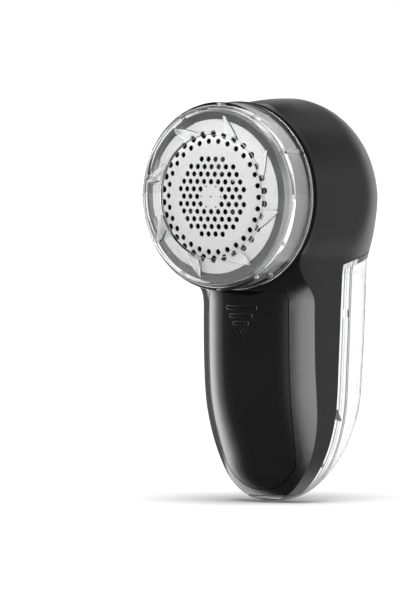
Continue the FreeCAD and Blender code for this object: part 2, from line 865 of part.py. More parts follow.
cover_form = common(
    "cover_form",
    [
        outer_skin,
        front_layer("cover_band", 0, cover_wall),
        cover_prism("cover_outline_form", 0),
    ],
)
marks = []
for x, z0, z1 in ((6.5, 70.1, 70.9), (4.8, 67.2, 68.0), (3.2, 64.5, 65.3)):
    marks.append(extrude_front(f"mark_{int(z0)}", [(-x, z0), (x, z0), (x, z1), (-x, z1)], -5, 30))
chevron = [(-2.2, 62.9), (-1.5, 62.9), (0, 61.0), (1.5, 62.9), (2.2, 62.9), (0, 60.0)]
marks.append(extrude_front("mark_chevron", chevron, -5, 30))
engraving = common("engraving", [fuse("marks", marks), front_layer("mark_band", -1, 1.4)])
battery_cover = cut("battery_cover_cut", cover_form, [engraving])
node(battery_cover, "battery_cover")

rear_blank = common("rear_blank", [outer_skin, front_layer("rear_band", panel, 120)])
cavity = cut("cavity", fuse("whole_cavity", [inner_form, barrel_inside]), [wall_zone])
duct_window = block("duct_window", -10.3, 10.3, 36, 50, 76.6, 85.6)
switch_z = size("switch_height")
switch_slot = block("switch_slot", -1.8, 1.8, 66, 80, switch_z - 2.6, switch_z + size("switch_travel") + 2.6)
screw_bores = [rod(f"wall_bore_{name}", 0.95, x, 30, z, 20) for name, x, z, depth in SHELL_SCREWS]
rear_cut = cut("rear_cut", rear_blank, [cavity, bin_zone, duct_window, switch_slot] + screw_bores)
# Behind the partition: barbs and lugs that hold the lint box, and fins that stiffen the foot.
BARB = [(35.5, 30.7), (40.0, 30.7), (44.8, 29.3), (45.0, 30.0), (42.0, 33.7), (40.0, 32.4), (35.5, 32.4)]
LUG = [(35.5, 13.2), (41.4, 13.2), (41.4, 14.4), (40.6, 15.0), (35.5, 15.0)]
hooks = []
for side, name in ((-1, "left"), (1, "right")):
    for kind, x, outline in (("barb", 20.0, BARB), ("lug", 14.4, LUG)):
        x0, x1 = sorted((side * x, side * (x + 1.3)))
        hooks.append(extrude_side(f"{kind}_{name}", outline, x0, x1))
fins = [
    block("upper_fin_left", -12, -2.8, 35.5, 41.5, 10.3, 11.0),
    block("upper_fin_right", 2.8, 12, 35.5, 41.5, 10.3, 11.0),
    block("lower_fin", -8, 8, 35.5, 40.0, 6.5, 7.1),
]
rear_shell = fuse("rear_shell_fuse", [rear_cut] + hooks + fins)
node(rear_shell, "rear_shell")

lint_blank = common(
    "lint_blank",
    [outer_skin, front_layer("behind_front", 0, 120), extrude_side("bin_body", BIN_BODY)],
)
# The box's wall gets thinner in two steps behind its rim.
lint_hollows = []
for k, (wall, back) in enumerate(((2.2, 0.0), (1.7, 2.8), (size("bin_wall"), 6.1)), start=1):
    zone = [(36.6 + back, 3.4), (42.1 + back, 83.4 + 0.22 * back), (95, 95.1), (95, -6), (36.6 + back, -6)]
    inside = feature(f"lint_inside_{k}", body_form(wall))
    lint_hollows.append(common(f"lint_hollow_{k}", [inside, extrude_side(f"hollow_zone_{k}", zone)]))
lint_tabs = []
for side in (-1, 1):
    x0, x1 = sorted((side * 21.6, side * 23.4))
    lint_tabs.append(block(f"lint_tab_{'left' if side < 0 else 'right'}", x0, x1, 41.4, 47.4, 66.5, 69.3))
lint_box = fuse("lint_box_fuse", [cut("lint_box_cut", lint_blank, lint_hollows)] + lint_tabs)
node(lint_box, "lint_box")

for name, x, z, depth in SHELL_SCREWS:
    screw = new_body(f"shell_screw_{name}_body")
    edge_depth = along_wall(36.17, z)
    points = [(0, edge_depth + 1.6), (1.7, edge_depth + 1.6), (2.0, edge_depth + 1.2)]
    points += [(2.0, edge_depth + 0.2), (0.9, edge_depth + 0.2)]
    points += [(0.9, edge_depth - 9.0), (0, edge_depth - 9.6)]
    revolve(screw, "screw_turn", points)
    cross = sketch(screw, "screw_cross_outline", "XY_Plane", edge_depth + 1.6)
    draw_box(cross, -1.4, -0.25, 1.4, 0.25)
    pocket(screw, cross, "screw_slot", 0.6, forward=False)
    head_frame(screw)
    screw.Placement.Base.x = x
    screw.setExpression("Placement.Base.z", f"Sheet.head_height + ({z - size('head_height')})")
    node(screw, f"shell_screw_{name}")

# ---------------------------------------------------------------- batteries and contacts

base, length = size("cell_base"), size("cell_length")
spacing, depth = size("cell_spacing"), size("cell_depth")
tray_low, tray_high = base - 5.4, base + length + 1.3
tray = fuse(
    "battery_tray_fuse",
    [
        block("tray_back", -15.4, 15.4, 34.5, 35.3, tray_low, tray_high),
        block("tray_floor", -15.4, 15.4, 26.6, 34.7, tray_low, tray_low + 1.0),
        block("tray_top", -15.4, 15.4, 22.0, 34.7, tray_high - 0.8, tray_high),
        block("tray_left", -15.4, -14.6, 26.6, 34.7, tray_low, tray_high),
        block("tray_right", 14.6, 15.4, 26.6, 34.7, tray_low, tray_high),
    ],
)
node(tray, "battery_tray")

for side, name in ((-1, "battery_left"), (1, "battery_right")):
    cell = new_body(name + "_body")
    radius = size("cell_radius")
    profile = sketch(cell, name + "_outline", "XZ_Plane")
    points = [(0, 0), (radius - 1.2, 0), (radius - 0.8, 0.3), (radius, 0.6), (radius, length - 1.9)]
    points += [(radius - 0.7, length - 1.3), (2.8, length - 1.3), (2.7, length), (0, length)]
    draw_outline(profile, points)
    turned = cell.newObject("PartDesign::Revolution", name + "_turn")
    turned.Profile = profile
    turned.ReferenceAxis = (profile, ["V_Axis"])
    turned.Angle = 360
    finish(cell, turned)
    flip = 0 if side < 0 else 180
    cell.Placement = FreeCAD.Placement(V(side * spacing, 0, 0), TURN(V(1, 0, 0), flip))
    cell.setExpression("Placement.Base.y", "Sheet.rim_y + Sheet.cell_depth")
    lift = "Sheet.cell_base" if side < 0 else "Sheet.cell_base + Sheet.cell_length"
    cell.setExpression("Placement.Base.z", lift)
    node(cell, name)


def coil(name, x, z, height, radius, turns, wire=0.3, flip=False):
    """Coil spring standing on a height, about a line at the batteries' depth."""
    spine = doc.addObject("Part::Helix", name + "_helix")
    spine.Pitch = height / turns
    spine.Height = height
    spine.Radius = radius
    ring = doc.addObject("Part::Circle", name + "_wire")
    ring.Radius = wire
    ring.Placement = FreeCAD.Placement(V(radius, 0, 0), TURN(V(1, 0, 0), 90))
    swept = doc.addObject("Part::Sweep", name + "_sweep")
    swept.Sections = [ring]
    swept.Spine = spine
    swept.Solid = True
    swept.Frenet = True
    swept.Placement = FreeCAD.Placement(V(x, 0, z), TURN(V(1, 0, 0), 180 if flip else 0))
    swept.setExpression("Placement.Base.y", "Sheet.rim_y + Sheet.cell_depth")
    return swept


bridge = block("contact_bridge_box", -10.6, 10.6, 25.4, 31.4, tray_low + 1.05, tray_low + 1.4)
dome = rod("bridge_dome", 2.4, spacing, depth, tray_low + 1.2, base - tray_low - 1.3, along="z")
node(fuse("contact_bridge_fuse", [bridge, dome]), "contact_bridge")
node(coil("spring_lower", -spacing, tray_low + 1.75, 2.7, 2.9, 3), "contact_spring_lower")
for side, name in ((-1, "contact_plate_left"), (1, "contact_plate_right")):
    x0, x1 = sorted((side * (spacing - 3.6), side * (spacing + 3.6)))
    node(block(name + "_box", x0, x1, 24.4, 31.4, tray_high - 1.2, tray_high - 0.85), name)

# ---------------------------------------------------------------- power switch

knob = new_body("switch_knob_body")
grip = sketch(knob, "knob_outline", "XZ_Plane")
half, tall = size("knob_width") / 2, size("knob_height") / 2
draw_outline(
    grip,
    [
        (-half, -tall + 1.5),
        (-half + 1.5, -tall),
        (half - 1.5, -tall),
        (half, -tall + 1.5),
        (half, tall - 1.5),
        (half - 1.5, tall),
        (-half + 1.5, tall),
        (-half, tall - 1.5),
    ],
)
pad(knob, grip, "knob_grip", 1.6, back=True)
grooves = sketch(knob, "groove_outline", "XZ_Plane", -1.6)
for k in range(-2, 3):
    draw_box(grooves, -half + 1.2, 2 * k - 0.4, half - 1.2, 2 * k + 0.4)
pocket(knob, grooves, "knob_grooves", 0.5)
stem = sketch(knob, "stem_outline", "XZ_Plane", 0)
draw_box(stem, -1.5, -2.2, 1.5, 2.2)
pad(knob, stem, "knob_stem", 4.6)
foot = sketch(knob, "stem_foot_outline", "XZ_Plane", 3.4)
draw_box(foot, -3.2, -3.2, 3.2, 3.2)
pad(knob, foot, "stem_foot", 1.2)
knob.setExpression("Placement.Base.y", "Sheet.rim_y + Sheet.back_depth + 0.35")
knob.setExpression("Placement.Base.z", "Sheet.switch_height")
node(knob, "switch_knob")

switch_low, switch_high = switch_z - 5, switch_z + 10
switch_box = block("switch_box", -5.5, 5.5, 62.0, 69.4, switch_low, switch_high)
legs = [block(f"switch_leg_{k}", x - 0.7, x + 0.7, 59.0, 62.5, z, z + 0.4) for k, (x, z) in enumerate(
    ((-3.4, switch_low + 2), (3.4, switch_low + 2), (-3.4, switch_low + 12), (3.4, switch_low + 12))
)]
node(fuse("switch_body_fuse", [switch_box] + legs), "switch_body")


def lead(name, points, radius=0.6):
    """Round insulated lead through (x, depth, height) points."""
    curve = Part.BSplineCurve()
    curve.interpolate([V(*p) for p in points])
    spine = Part.Wire(curve.toShape())
    start = curve.value(curve.FirstParameter)
    ring = Part.Wire(Part.makeCircle(radius, start, curve.tangent(curve.FirstParameter)[0]))
    return node(feature(name + "_sweep", spine.makePipeShell([ring], True, True)), name)


# Leads run from the contact plates up past the wall to the switch, the motor and back.
lead_foot = tray_high + 1.3
lead(
    "lead_battery_switch",
    [(11.4, 34.0, lead_foot), (13.8, 36.4, 85.5), (13.6, 41.5, 90.4), (9.5, 51.0, 95.5), (3.4, 58.2, 100.6)],
)
lead(
    "lead_battery_motor",
    [
        (-11.4, 34.0, lead_foot),
        (-13.8, 36.4, 85.5),
        (-14.4, 42.0, 92.0),
        (-12.5, 51.0, 102.5),
        (-6.8, 52.4, 109.2),
    ],
)
lead("lead_switch_motor", [(3.4, 58.2, 115.4), (5.5, 56.5, 117.5), (8.6, 54.5, 115.5), (7.2, 52.4, 112.0)])

# ---------------------------------------------------------------- checks and export

doc.recompute()
faults = [o.Name for o in doc.Objects if {"Invalid", "Error"} & set(o.State)]
if faults:
    raise RuntimeError(f"features in error: {faults}")
for obj in nodes:
    shape = obj.Shape
    if shape.isNull() or not shape.isValid() or len(shape.Solids) != 1:
        raise RuntimeError(f"{obj.Label} has {len(shape.Solids)} solids, valid {shape.isValid()}")
    shape.exportStep(f"parts/{obj.Label}.step")
    print(f"{obj.Label} {shape.Volume:.1f}")
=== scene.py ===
"""Looks of the fabric shaver: materials, the studio and the camera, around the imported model."""

import json
import math

import bmesh
import bpy
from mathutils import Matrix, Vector


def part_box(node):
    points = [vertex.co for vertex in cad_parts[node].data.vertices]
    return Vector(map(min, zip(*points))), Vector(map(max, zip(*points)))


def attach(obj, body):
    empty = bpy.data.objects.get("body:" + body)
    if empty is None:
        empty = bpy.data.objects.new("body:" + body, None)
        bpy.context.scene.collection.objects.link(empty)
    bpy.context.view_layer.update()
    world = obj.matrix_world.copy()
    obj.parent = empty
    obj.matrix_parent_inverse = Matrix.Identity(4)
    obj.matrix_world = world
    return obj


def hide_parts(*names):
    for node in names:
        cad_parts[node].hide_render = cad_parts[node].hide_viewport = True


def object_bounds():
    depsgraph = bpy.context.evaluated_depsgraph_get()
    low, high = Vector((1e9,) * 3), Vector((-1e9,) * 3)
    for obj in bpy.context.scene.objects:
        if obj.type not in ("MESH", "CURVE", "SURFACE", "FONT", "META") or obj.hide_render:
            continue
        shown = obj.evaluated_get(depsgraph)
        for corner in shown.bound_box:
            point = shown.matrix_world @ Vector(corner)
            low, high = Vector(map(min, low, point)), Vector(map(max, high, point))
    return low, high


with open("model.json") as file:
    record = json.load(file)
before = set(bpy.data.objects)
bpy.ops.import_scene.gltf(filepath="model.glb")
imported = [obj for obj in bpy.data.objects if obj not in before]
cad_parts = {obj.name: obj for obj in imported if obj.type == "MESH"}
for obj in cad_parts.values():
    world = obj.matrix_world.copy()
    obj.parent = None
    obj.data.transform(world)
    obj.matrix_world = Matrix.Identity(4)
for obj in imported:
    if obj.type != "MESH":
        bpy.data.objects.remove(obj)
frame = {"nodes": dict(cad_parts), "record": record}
cad_low, cad_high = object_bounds()

MM = 0.001
# How far the guard's hoop stands in front of the rim of its wall, in mm.
HOOP_REACH = 4.7
# The head's axis, and the rim of the guard's wall, from which depths are measured.
guard_low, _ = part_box("guard_cap")
shaft_low, shaft_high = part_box("motor_shaft")
AXIS_Z = (shaft_low[2] + shaft_high[2]) / 2
RIM_Y = guard_low[1] + HOOP_REACH * MM
# The lint box's front edge leans back: its place at height 0, and how far it goes back with height.
BIN_EDGE_Y = RIM_Y + 36.37 * MM
BIN_EDGE_SLOPE = 0.06875
# Angle between two faces above which their edge is sharp, in degrees.
SHARP = 32.0


# ---------------------------------------------------------------- node helpers


def new_material(name):
    """An empty material with its Principled shader and output."""
    material = bpy.data.materials.new(name)
    material.use_nodes = True
    nodes = material.node_tree.nodes
    return material, nodes, material.node_tree.links, nodes["Principled BSDF"]


def noise(nodes, links, scale, detail=3.0, stretch=(1, 1, 1)):
    """Noise over the piece's own coordinates, in metres, so scale is about one over the grain."""
    where = nodes.new("ShaderNodeTexCoord")
    turn = nodes.new("ShaderNodeMapping")
    turn.inputs["Scale"].default_value = stretch
    grain = nodes.new("ShaderNodeTexNoise")
    grain.inputs["Scale"].default_value = scale
    grain.inputs["Detail"].default_value = detail
    links.new(where.outputs["Object"], turn.inputs["Vector"])
    links.new(turn.outputs["Vector"], grain.inputs["Vector"])
    return grain.outputs["Fac"]


def spread(nodes, links, value, low, high, start=0.35, end=0.65):
    """Maps a grain's middle range onto low..high."""
    step = nodes.new("ShaderNodeMapRange")
    step.inputs["From Min"].default_value = start
    step.inputs["From Max"].default_value = end
    step.inputs["To Min"].default_value = low
    step.inputs["To Max"].default_value = high
    links.new(value, step.inputs["Value"])
    return step.outputs["Result"]


def own_place(nodes, links, kind="Object"):
    """X, Y and Z of the piece's own coordinates, or of a direction for the surroundings."""
    where = nodes.new("ShaderNodeTexCoord")
    parts = nodes.new("ShaderNodeSeparateXYZ")
    links.new(where.outputs[kind], parts.inputs["Vector"])
    return parts


def blend(nodes, links, value, first, second):
    """Colour between two, by a value from 0 to 1."""
    mixer = nodes.new("ShaderNodeMix")
    mixer.data_type = "RGBA"
    mixer.inputs["A"].default_value = (*first, 1)
    mixer.inputs["B"].default_value = (*second, 1)
    links.new(value, mixer.inputs["Factor"])
    return mixer.outputs["Result"]


def relief(nodes, links, shader, value, height):
    """Bump on a shader from a value, height in metres."""
    bump = nodes.new("ShaderNodeBump")
    bump.inputs["Strength"].default_value = 1.0
    bump.inputs["Distance"].default_value = height
    links.new(value, bump.inputs["Height"])
    links.new(bump.outputs["Normal"], shader.inputs["Normal"])


def calculate(nodes, links, operation, *values):
    """Math node on sockets or numbers."""
    step = nodes.new("ShaderNodeMath")
    step.operation = operation
    for socket, value in zip(step.inputs, values):
        if isinstance(value, (int, float)):
            socket.default_value = value
        else:
            links.new(value, socket)
    return step.outputs["Value"]


# ---------------------------------------------------------------- kinds of material


def moulded(name, colour, roughness, grain=2500.0, height=2e-6, shade=0.85, swing=0.04, sheen=0.5):
    """Moulded plastic: a fine flow texture in its colour, gloss and surface."""
    material, nodes, links, shader = new_material(name)
    flow = noise(nodes, links, 90.0, detail=4.0)
    fine = noise(nodes, links, grain, detail=2.0)
    darker = tuple(shade * c for c in colour)
    tone = blend(nodes, links, spread(nodes, links, flow, 0, 1), darker, colour)
    links.new(tone, shader.inputs["Base Color"])
    links.new(spread(nodes, links, fine, roughness - swing, roughness + swing), shader.inputs["Roughness"])
    shader.inputs["Specular IOR Level"].default_value = sheen
    relief(nodes, links, shader, fine, height)
    return material


# Tones of the foil ring's front, between two, and of its side wall, which starts behind the
# rim of the guard's wall between two depths in mm. The side wall's paler tone is painted light:
# it stands in for the light that this side catches.
RING_FRONT = ((0.085, 0.086, 0.088), (0.105, 0.106, 0.108))
RING_SIDE_PAINTED_LIGHT = (0.3, 0.3, 0.3)
RING_SIDE_START = (1.3, 1.5)


def ring_plastic(name):
    """Dark satin front, with the side wall behind it painted paler as painted light."""
    material, nodes, links, shader = new_material(name)
    flow = noise(nodes, links, 120.0, detail=4.0)
    dark = blend(nodes, links, spread(nodes, links, flow, 0, 1), *RING_FRONT)
    parts = own_place(nodes, links)
    # Painted light: behind this depth the side wall is painted paler, as if lit.
    start, end = (RIM_Y + depth * MM for depth in RING_SIDE_START)
    depth = spread(nodes, links, parts.outputs["Y"], 0, 1, start, end)
    tone = blend(nodes, links, depth, (0, 0, 0), RING_SIDE_PAINTED_LIGHT)
    links.new(dark, tone.node.inputs["A"])
    links.new(tone, shader.inputs["Base Color"])
    links.new(spread(nodes, links, flow, 0.3, 0.4), shader.inputs["Roughness"])
    relief(nodes, links, shader, noise(nodes, links, 2500.0, detail=2.0), 2e-6)
    return material


def metal(name, colour, roughness, grain=1500.0, stretch=(1, 1, 1), height=1e-6, metallic=1.0, shade=0.8):
    """Metal with a drawn or sandblasted grain."""
    material, nodes, links, shader = new_material(name)
    lines = noise(nodes, links, grain, detail=3.0, stretch=stretch)
    darker = tuple(shade * c for c in colour)
    tone = blend(nodes, links, spread(nodes, links, lines, 0, 1), darker, colour)
    links.new(tone, shader.inputs["Base Color"])
    links.new(spread(nodes, links, lines, roughness - 0.06, roughness + 0.06), shader.inputs["Roughness"])
    shader.inputs["Metallic"].default_value = metallic
    relief(nodes, links, shader, lines, height)
    return material


def clear(name, tint, roughness, density, edge=0.25, milk=0.0, painted_shade_bands=()):
    """Clear moulded plastic: faint flow lines, painted shade that darkens its tint towards its edges at a
    grazing view, and darker in thick walls.

    Edge is what is left of the tint at a grazing view, where the painted shade is darkest, and milk
    the share that is white instead of clear. Bands are painted shade: darker lines round the lint
    box, as (distance behind its front edge, half width, darkness), in mm.
    """
    material, nodes, links, shader = new_material(name)
    shader.inputs["Transmission Weight"].default_value = 1.0 - milk
    shader.inputs["IOR"].default_value = 1.49
    flow = noise(nodes, links, 160.0, detail=2.0)
    links.new(spread(nodes, links, flow, roughness * 0.5, roughness), shader.inputs["Roughness"])
    relief(nodes, links, shader, flow, 4e-6)
    # Painted shade: the tint darkens towards a grazing view, standing in for the dark outlines of clear
    # edges.
    facing = nodes.new("ShaderNodeLayerWeight")
    facing.inputs["Blend"].default_value = 0.5
    dark = spread(nodes, links, facing.outputs["Facing"], 0, 1 - edge, 0.62, 1.0)
    # Painted shade: dark lines round the lint box.
    if painted_shade_bands:
        parts = own_place(nodes, links)
        behind = calculate(nodes, links, "MULTIPLY_ADD", parts.outputs["Z"], -BIN_EDGE_SLOPE, -BIN_EDGE_Y)
        behind = calculate(nodes, links, "ADD", parts.outputs["Y"], behind)
        for middle, half, darkness in painted_shade_bands:
            away = calculate(nodes, links, "SUBTRACT", behind, middle * MM)
            away = calculate(nodes, links, "ABSOLUTE", away)
            line = spread(nodes, links, away, darkness, 0, half * MM * 0.7, half * MM)
            dark = calculate(nodes, links, "MAXIMUM", dark, line)
    links.new(blend(nodes, links, dark, tint, (0.04, 0.04, 0.042)), shader.inputs["Base Color"])
    fog = nodes.new("ShaderNodeVolumeAbsorption")
    fog.inputs["Color"].default_value = (0.77, 0.775, 0.78, 1)
    fog.inputs["Density"].default_value = density
    out = next(n for n in nodes if n.type == "OUTPUT_MATERIAL")
    links.new(fog.outputs["Volume"], out.inputs["Volume"])
    return material


# ---------------------------------------------------------------- materials of the slots

# Painted shade lines round the lint box, for its material: behind its front edge, half width and darkness.
BOX_PAINTED_SHADE_LINES = [(3.0, 0.3, 0.6), (6.3, 0.34, 1.0)]
LOOKS = {
    "clear_guard": clear("clear_guard_look", (0.98, 0.98, 0.98), 0.03, 18.0),
    "clear_box": clear("clear_box_look", (0.98, 0.98, 0.98), 0.03, 30.0, 0.35, painted_shade_bands=BOX_PAINTED_SHADE_LINES),
    "clear_rotor": clear("clear_rotor_look", (0.45, 0.45, 0.46), 0.05, 40.0),
    "ring_plastic": ring_plastic("ring_plastic_painted_light_look"),
    "retainer_plastic": moulded("retainer_plastic_look", (0.05, 0.05, 0.052), 0.5),
    "foil_steel": metal("foil_steel_look", (0.88, 0.88, 0.882), 0.42, 1800.0, metallic=0.2, shade=0.9),
    "seal_rubber": moulded("seal_rubber_look", (0.003, 0.003, 0.003), 0.6, height=6e-6, sheen=0.06),
    "blade_steel": metal("blade_steel_look", (0.3, 0.3, 0.31), 0.38, 900.0, stretch=(1, 1, 12)),
    "coupler_plastic": moulded("coupler_plastic_look", (0.8, 0.8, 0.76), 0.4),
    "shaft_steel": metal("shaft_steel_look", (0.7, 0.7, 0.71), 0.18, 900.0, stretch=(1, 8, 1)),
    "armature_iron": metal("armature_iron_look", (0.5, 0.22, 0.09), 0.35, 3000.0, stretch=(1, 6, 1)),
    "motor_steel": metal("motor_steel_look", (0.62, 0.62, 0.64), 0.3, 1200.0, stretch=(1, 0.1, 1)),
    "magnet_ferrite": moulded("magnet_ferrite_look", (0.05, 0.05, 0.052), 0.6, height=8e-6),
    "endcap_plastic": moulded("endcap_plastic_look", (0.75, 0.75, 0.72), 0.5),
    "contact_brass": metal("contact_brass_look", (0.78, 0.6, 0.3), 0.3),
    "bracket_plastic": moulded("bracket_plastic_look", (0.04, 0.04, 0.042), 0.5),
    "screw_steel": metal("screw_steel_look", (0.5, 0.5, 0.52), 0.3),
    "chamber_plastic": moulded("chamber_plastic_look", (0.02, 0.02, 0.021), 0.45),
    "black_gloss": moulded(
        "black_gloss_look", (0.009, 0.009, 0.0095), 0.12, 1400.0, 5e-7, shade=0.9, swing=0.015
    ),
    "tray_plastic": moulded("tray_plastic_look", (0.04, 0.04, 0.042), 0.5),
    "cell_jacket": moulded("cell_jacket_look", (0.05, 0.055, 0.065), 0.25, 1200.0, 1e-6),
    "spring_steel": metal("spring_steel_look", (0.66, 0.66, 0.68), 0.25),
    "knob_plastic": moulded("knob_plastic_look", (0.02, 0.02, 0.021), 0.35, height=5e-6),
    "switch_plastic": moulded("switch_plastic_look", (0.06, 0.06, 0.065), 0.5),
    "red_lead": moulded("red_lead_look", (0.45, 0.02, 0.015), 0.4),
    "black_lead": moulded("black_lead_look", (0.015, 0.015, 0.015), 0.4),
}
for subpart in frame["record"]["subparts"]:
    piece = frame["nodes"][subpart["node"]]
    for slot in piece.material_slots:
        slot.material = LOOKS[subpart["material_slot"]]


# ---------------------------------------------------------------- clear guard


def on_head(radius, angle, depth):
    """Point by radius, by angle clockwise from the top and by depth behind the wall's rim, in mm."""
    turn = math.radians(angle)
    across, up = radius * math.sin(turn), radius * math.cos(turn)
    return Vector((across * MM, RIM_Y + depth * MM, AXIS_Z + up * MM))


def mesh_piece(name, points, faces, sharp=SHARP):
    """Object from points and faces, facing outwards, smooth except at its sharp edges."""
    mesh = bpy.data.meshes.new(name)
    mesh.from_pydata([tuple(p) for p in points], [], faces)
    form = bmesh.new()
    form.from_mesh(mesh)
    bmesh.ops.recalc_face_normals(form, faces=form.faces)
    form.to_mesh(mesh)
    form.free()
    mesh.shade_smooth()
    mesh.set_sharp_from_angle(angle=math.radians(sharp))
    piece = bpy.data.objects.new(name, mesh)
    bpy.context.collection.objects.link(piece)
    return piece


def turned(name, profile, steps):
    """Solid of revolution about the head's axis from a closed outline of (radius, depth)."""
    points = [on_head(r, 360 * k / steps, d) for k in range(steps) for r, d in profile]
    count = len(profile)
    faces = []
    for k in range(steps):
        for i in range(count):
            j, after = (i + 1) % count, (k + 1) % steps
            faces.append((k * count + i, k * count + j, after * count + j, after * count + i))
    return mesh_piece(name, points, faces)


def between(stops, share):
    """Value on a straight-line curve through (share, value) stops."""
    for (a, low), (b, high) in zip(stops, stops[1:]):
        if share <= b:
            return low + (high - low) * (share - a) / (b - a)
    return stops[-1][1]


# The guard's front plate from its hoop out to its shoulder, as (radius, depth).
PLATE = [(22.0, -4.0), (23.4, -3.9), (31.2, -3.0), (33.0, -1.0)]
# Edges of a leaf by its share from foot to tip, as degrees after its tip, and its radius there.
LEAF_RADIUS = [(0.0, 22.2), (1.0, 29.3)]
LEAF_FRONT_EDGE = [(0.0, 5.5), (0.2, 2.2), (0.45, 0.2), (0.75, -0.6), (1.0, -0.15)]
LEAF_BACK_EDGE = [(0.0, 24.0), (0.2, 19.5), (0.45, 13.0), (0.75, 5.6), (1.0, 0.15)]
LEAF_CROWN = [(0.0, 0.35), (0.4, 0.75), (0.8, 1.1), (1.0, 0.6)]
# How far a leaf's edge stands in front of the plate, and how far its back goes into the plate.
LEAF_LIFT, LEAF_ROOT = 0.22, 0.35
LEAF_COUNT, FIRST_LEAF = 8, 10
# Round studs along the rim of the wall.
STUD_COUNT, STUD_SIDES = 12, 12
STUD_RADIUS, STUD_FRONT, STUD_LENGTH, STUD_SIZE = 32.8, -0.5, 2.9, 0.88
# Guide ribs inside the wall, as (radius, degrees) of a rib's corners and its two depths.
GUIDE_COUNT, FIRST_GUIDE = 4, 60
GUIDE_CORNERS = [(32.4, -1.5), (32.4, 1.5), (31.0, 1.7), (31.0, -1.7)]
GUIDE_DEPTHS = (1.2, 9.6)
# Section of the guard, as (radius, depth): wall, shoulder, plate, hoop, and back inside.
HOOP_LIP = (22.0, -4.5)
GUARD_SECTION = [
    (33.7, 11.2), (33.7, 10.3), (33.4, 10.0), (33.4, 1.6), (33.7, 1.3), (33.7, 0.5), (33.4, 0.1),
    (33.0, -0.5), (31.6, -2.4), (31.2, -2.9), (30.8, -3.1), (23.9, -3.9), (23.4, -4.2),
    (23.3, -4.6), (23.1, -4.7), (22.2, -4.7), HOOP_LIP, (22.0, -3.9), (22.0, -3.2), (22.2, -3.1),
    (30.8, -1.8), (31.4, -1.3), (32.0, 0.0), (32.1, 0.4), (32.1, 11.2),
]
GUARD_STEPS = 144


# The guard's materials: its plain wall, the body of its leaves and studs, and their edges painted dark as
# painted shade.
GUARD_LOOKS = [
    LOOKS["clear_guard"],
    clear("leaf_look", (0.99, 0.99, 0.99), 0.05, 8.0, edge=0.18, milk=0.3),
    clear("leaf_painted_shade_edge_look", (0.1, 0.1, 0.1), 0.05, 30.0),
]
PLAIN, LEAF_BODY, LEAF_PAINTED_SHADE_EDGE = 0, 1, 2


def dress(piece, looks):
    """Gives a piece of the guard its materials, by a place in GUARD_LOOKS for each face."""
    for look in GUARD_LOOKS:
        piece.data.materials.append(look)
    piece.data.polygons.foreach_set("material_index", looks)
    return piece


def leaf(name, angle, rows=18, columns=14):
    """Leaf-shaped tooth: crowned like a lens, its foot on the hoop and its tip outwards.

    The leaves on the right are painted dark along one long edge, those on the left along both: painted
    shade, by how the light falls on them.
    """
    painted_shade_sides = (columns - 1,) if angle < 180 else (0, columns - 1)
    points = []
    for side in (1, 0):
        for i in range(rows + 1):
            along = i / rows
            radius = between(LEAF_RADIUS, along)
            first, last = between(LEAF_FRONT_EDGE, along), between(LEAF_BACK_EDGE, along)
            floor = between(PLATE, radius)
            for j in range(columns + 1):
                across = 2 * j / columns - 1
                crown = between(LEAF_CROWN, along) * math.sqrt(max(1 - across * across, 0))
                depth = max(floor - LEAF_LIFT - crown, -HOOP_REACH) if side else floor + LEAF_ROOT
                place = angle + first + (last - first) * (across + 1) / 2
                points.append(on_head(radius, place, depth))
    wide = columns + 1
    sheet = (rows + 1) * wide
    faces = []
    for i in range(rows):
        for j in range(columns):
            a = i * wide + j
            faces.append((a, a + 1, a + wide + 1, a + wide))
            faces.append((sheet + a + wide, sheet + a + wide + 1, sheet + a + 1, sheet + a))
    looks = [LEAF_BODY] * len(faces)
    # Painted shade along the leaf's dark long edges.
    for i in range(rows):
        for j in painted_shade_sides:
            looks[2 * (i * columns + j)] = LEAF_PAINTED_SHADE_EDGE
    edge = list(range(wide)) + [i * wide + columns for i in range(1, rows + 1)]
    edge += [rows * wide + j for j in range(columns - 1, -1, -1)]
    edge += [i * wide for i in range(rows - 1, 0, -1)]
    # The side faces along the back edge get the painted shade too.
    for a, b in zip(edge, edge[1:] + edge[:1]):
        faces.append((b, a, sheet + a, sheet + b))
        looks.append(LEAF_PAINTED_SHADE_EDGE if a % wide == columns else LEAF_BODY)
    piece = mesh_piece(name, points, faces, 50.0)
    return dress(piece, looks)


def stud(name, angle):
    """Short round stud lying along the head's axis, with sloped ends."""
    points = []
    middle = on_head(STUD_RADIUS, angle, 0)
    for place, share in ((0, 0.6), (0.25, 1.0), (0.75, 1.0), (1, 0.6)):
        for k in range(STUD_SIDES):
            turn = math.tau * k / STUD_SIDES
            offset = Vector((math.cos(turn), 0, math.sin(turn))) * STUD_SIZE * share * MM
            points.append(middle + offset + Vector((0, (STUD_FRONT + STUD_LENGTH * place) * MM, 0)))
    faces = [tuple(range(STUD_SIDES)), tuple(reversed(range(3 * STUD_SIDES, 4 * STUD_SIDES)))]
    for ring in range(3):
        for k in range(STUD_SIDES):
            a, b = ring * STUD_SIDES + k, ring * STUD_SIDES + (k + 1) % STUD_SIDES
            faces.append((a, b, b + STUD_SIDES, a + STUD_SIDES))
    return dress(mesh_piece(name, points, faces), [LEAF_BODY] * len(faces))


def guide(name, angle):
    """Guide rib along the inside of the guard's wall."""
    points = [on_head(r, angle + a, d) for d in GUIDE_DEPTHS for r, a in GUIDE_CORNERS]
    faces = [(0, 1, 2, 3), (7, 6, 5, 4)]
    faces += [(k, (k + 1) % 4, (k + 1) % 4 + 4, k + 4) for k in range(4)]
    return mesh_piece(name, points, faces)


def join_solids(body, tools):
    """Merges the tools into the body, so that the clear plastic is one piece without inner walls."""
    for tool in tools:
        merge = body.modifiers.new("merge", "BOOLEAN")
        merge.operation = "UNION"
        merge.solver = "EXACT"
        merge.object = tool
    bpy.context.view_layer.update()
    shaped = bpy.data.meshes.new_from_object(body.evaluated_get(bpy.context.evaluated_depsgraph_get()))
    body.modifiers.clear()
    body.data = shaped
    shaped.shade_smooth()
    shaped.set_sharp_from_angle(angle=math.radians(SHARP))
    for tool in tools:
        bpy.data.objects.remove(tool)


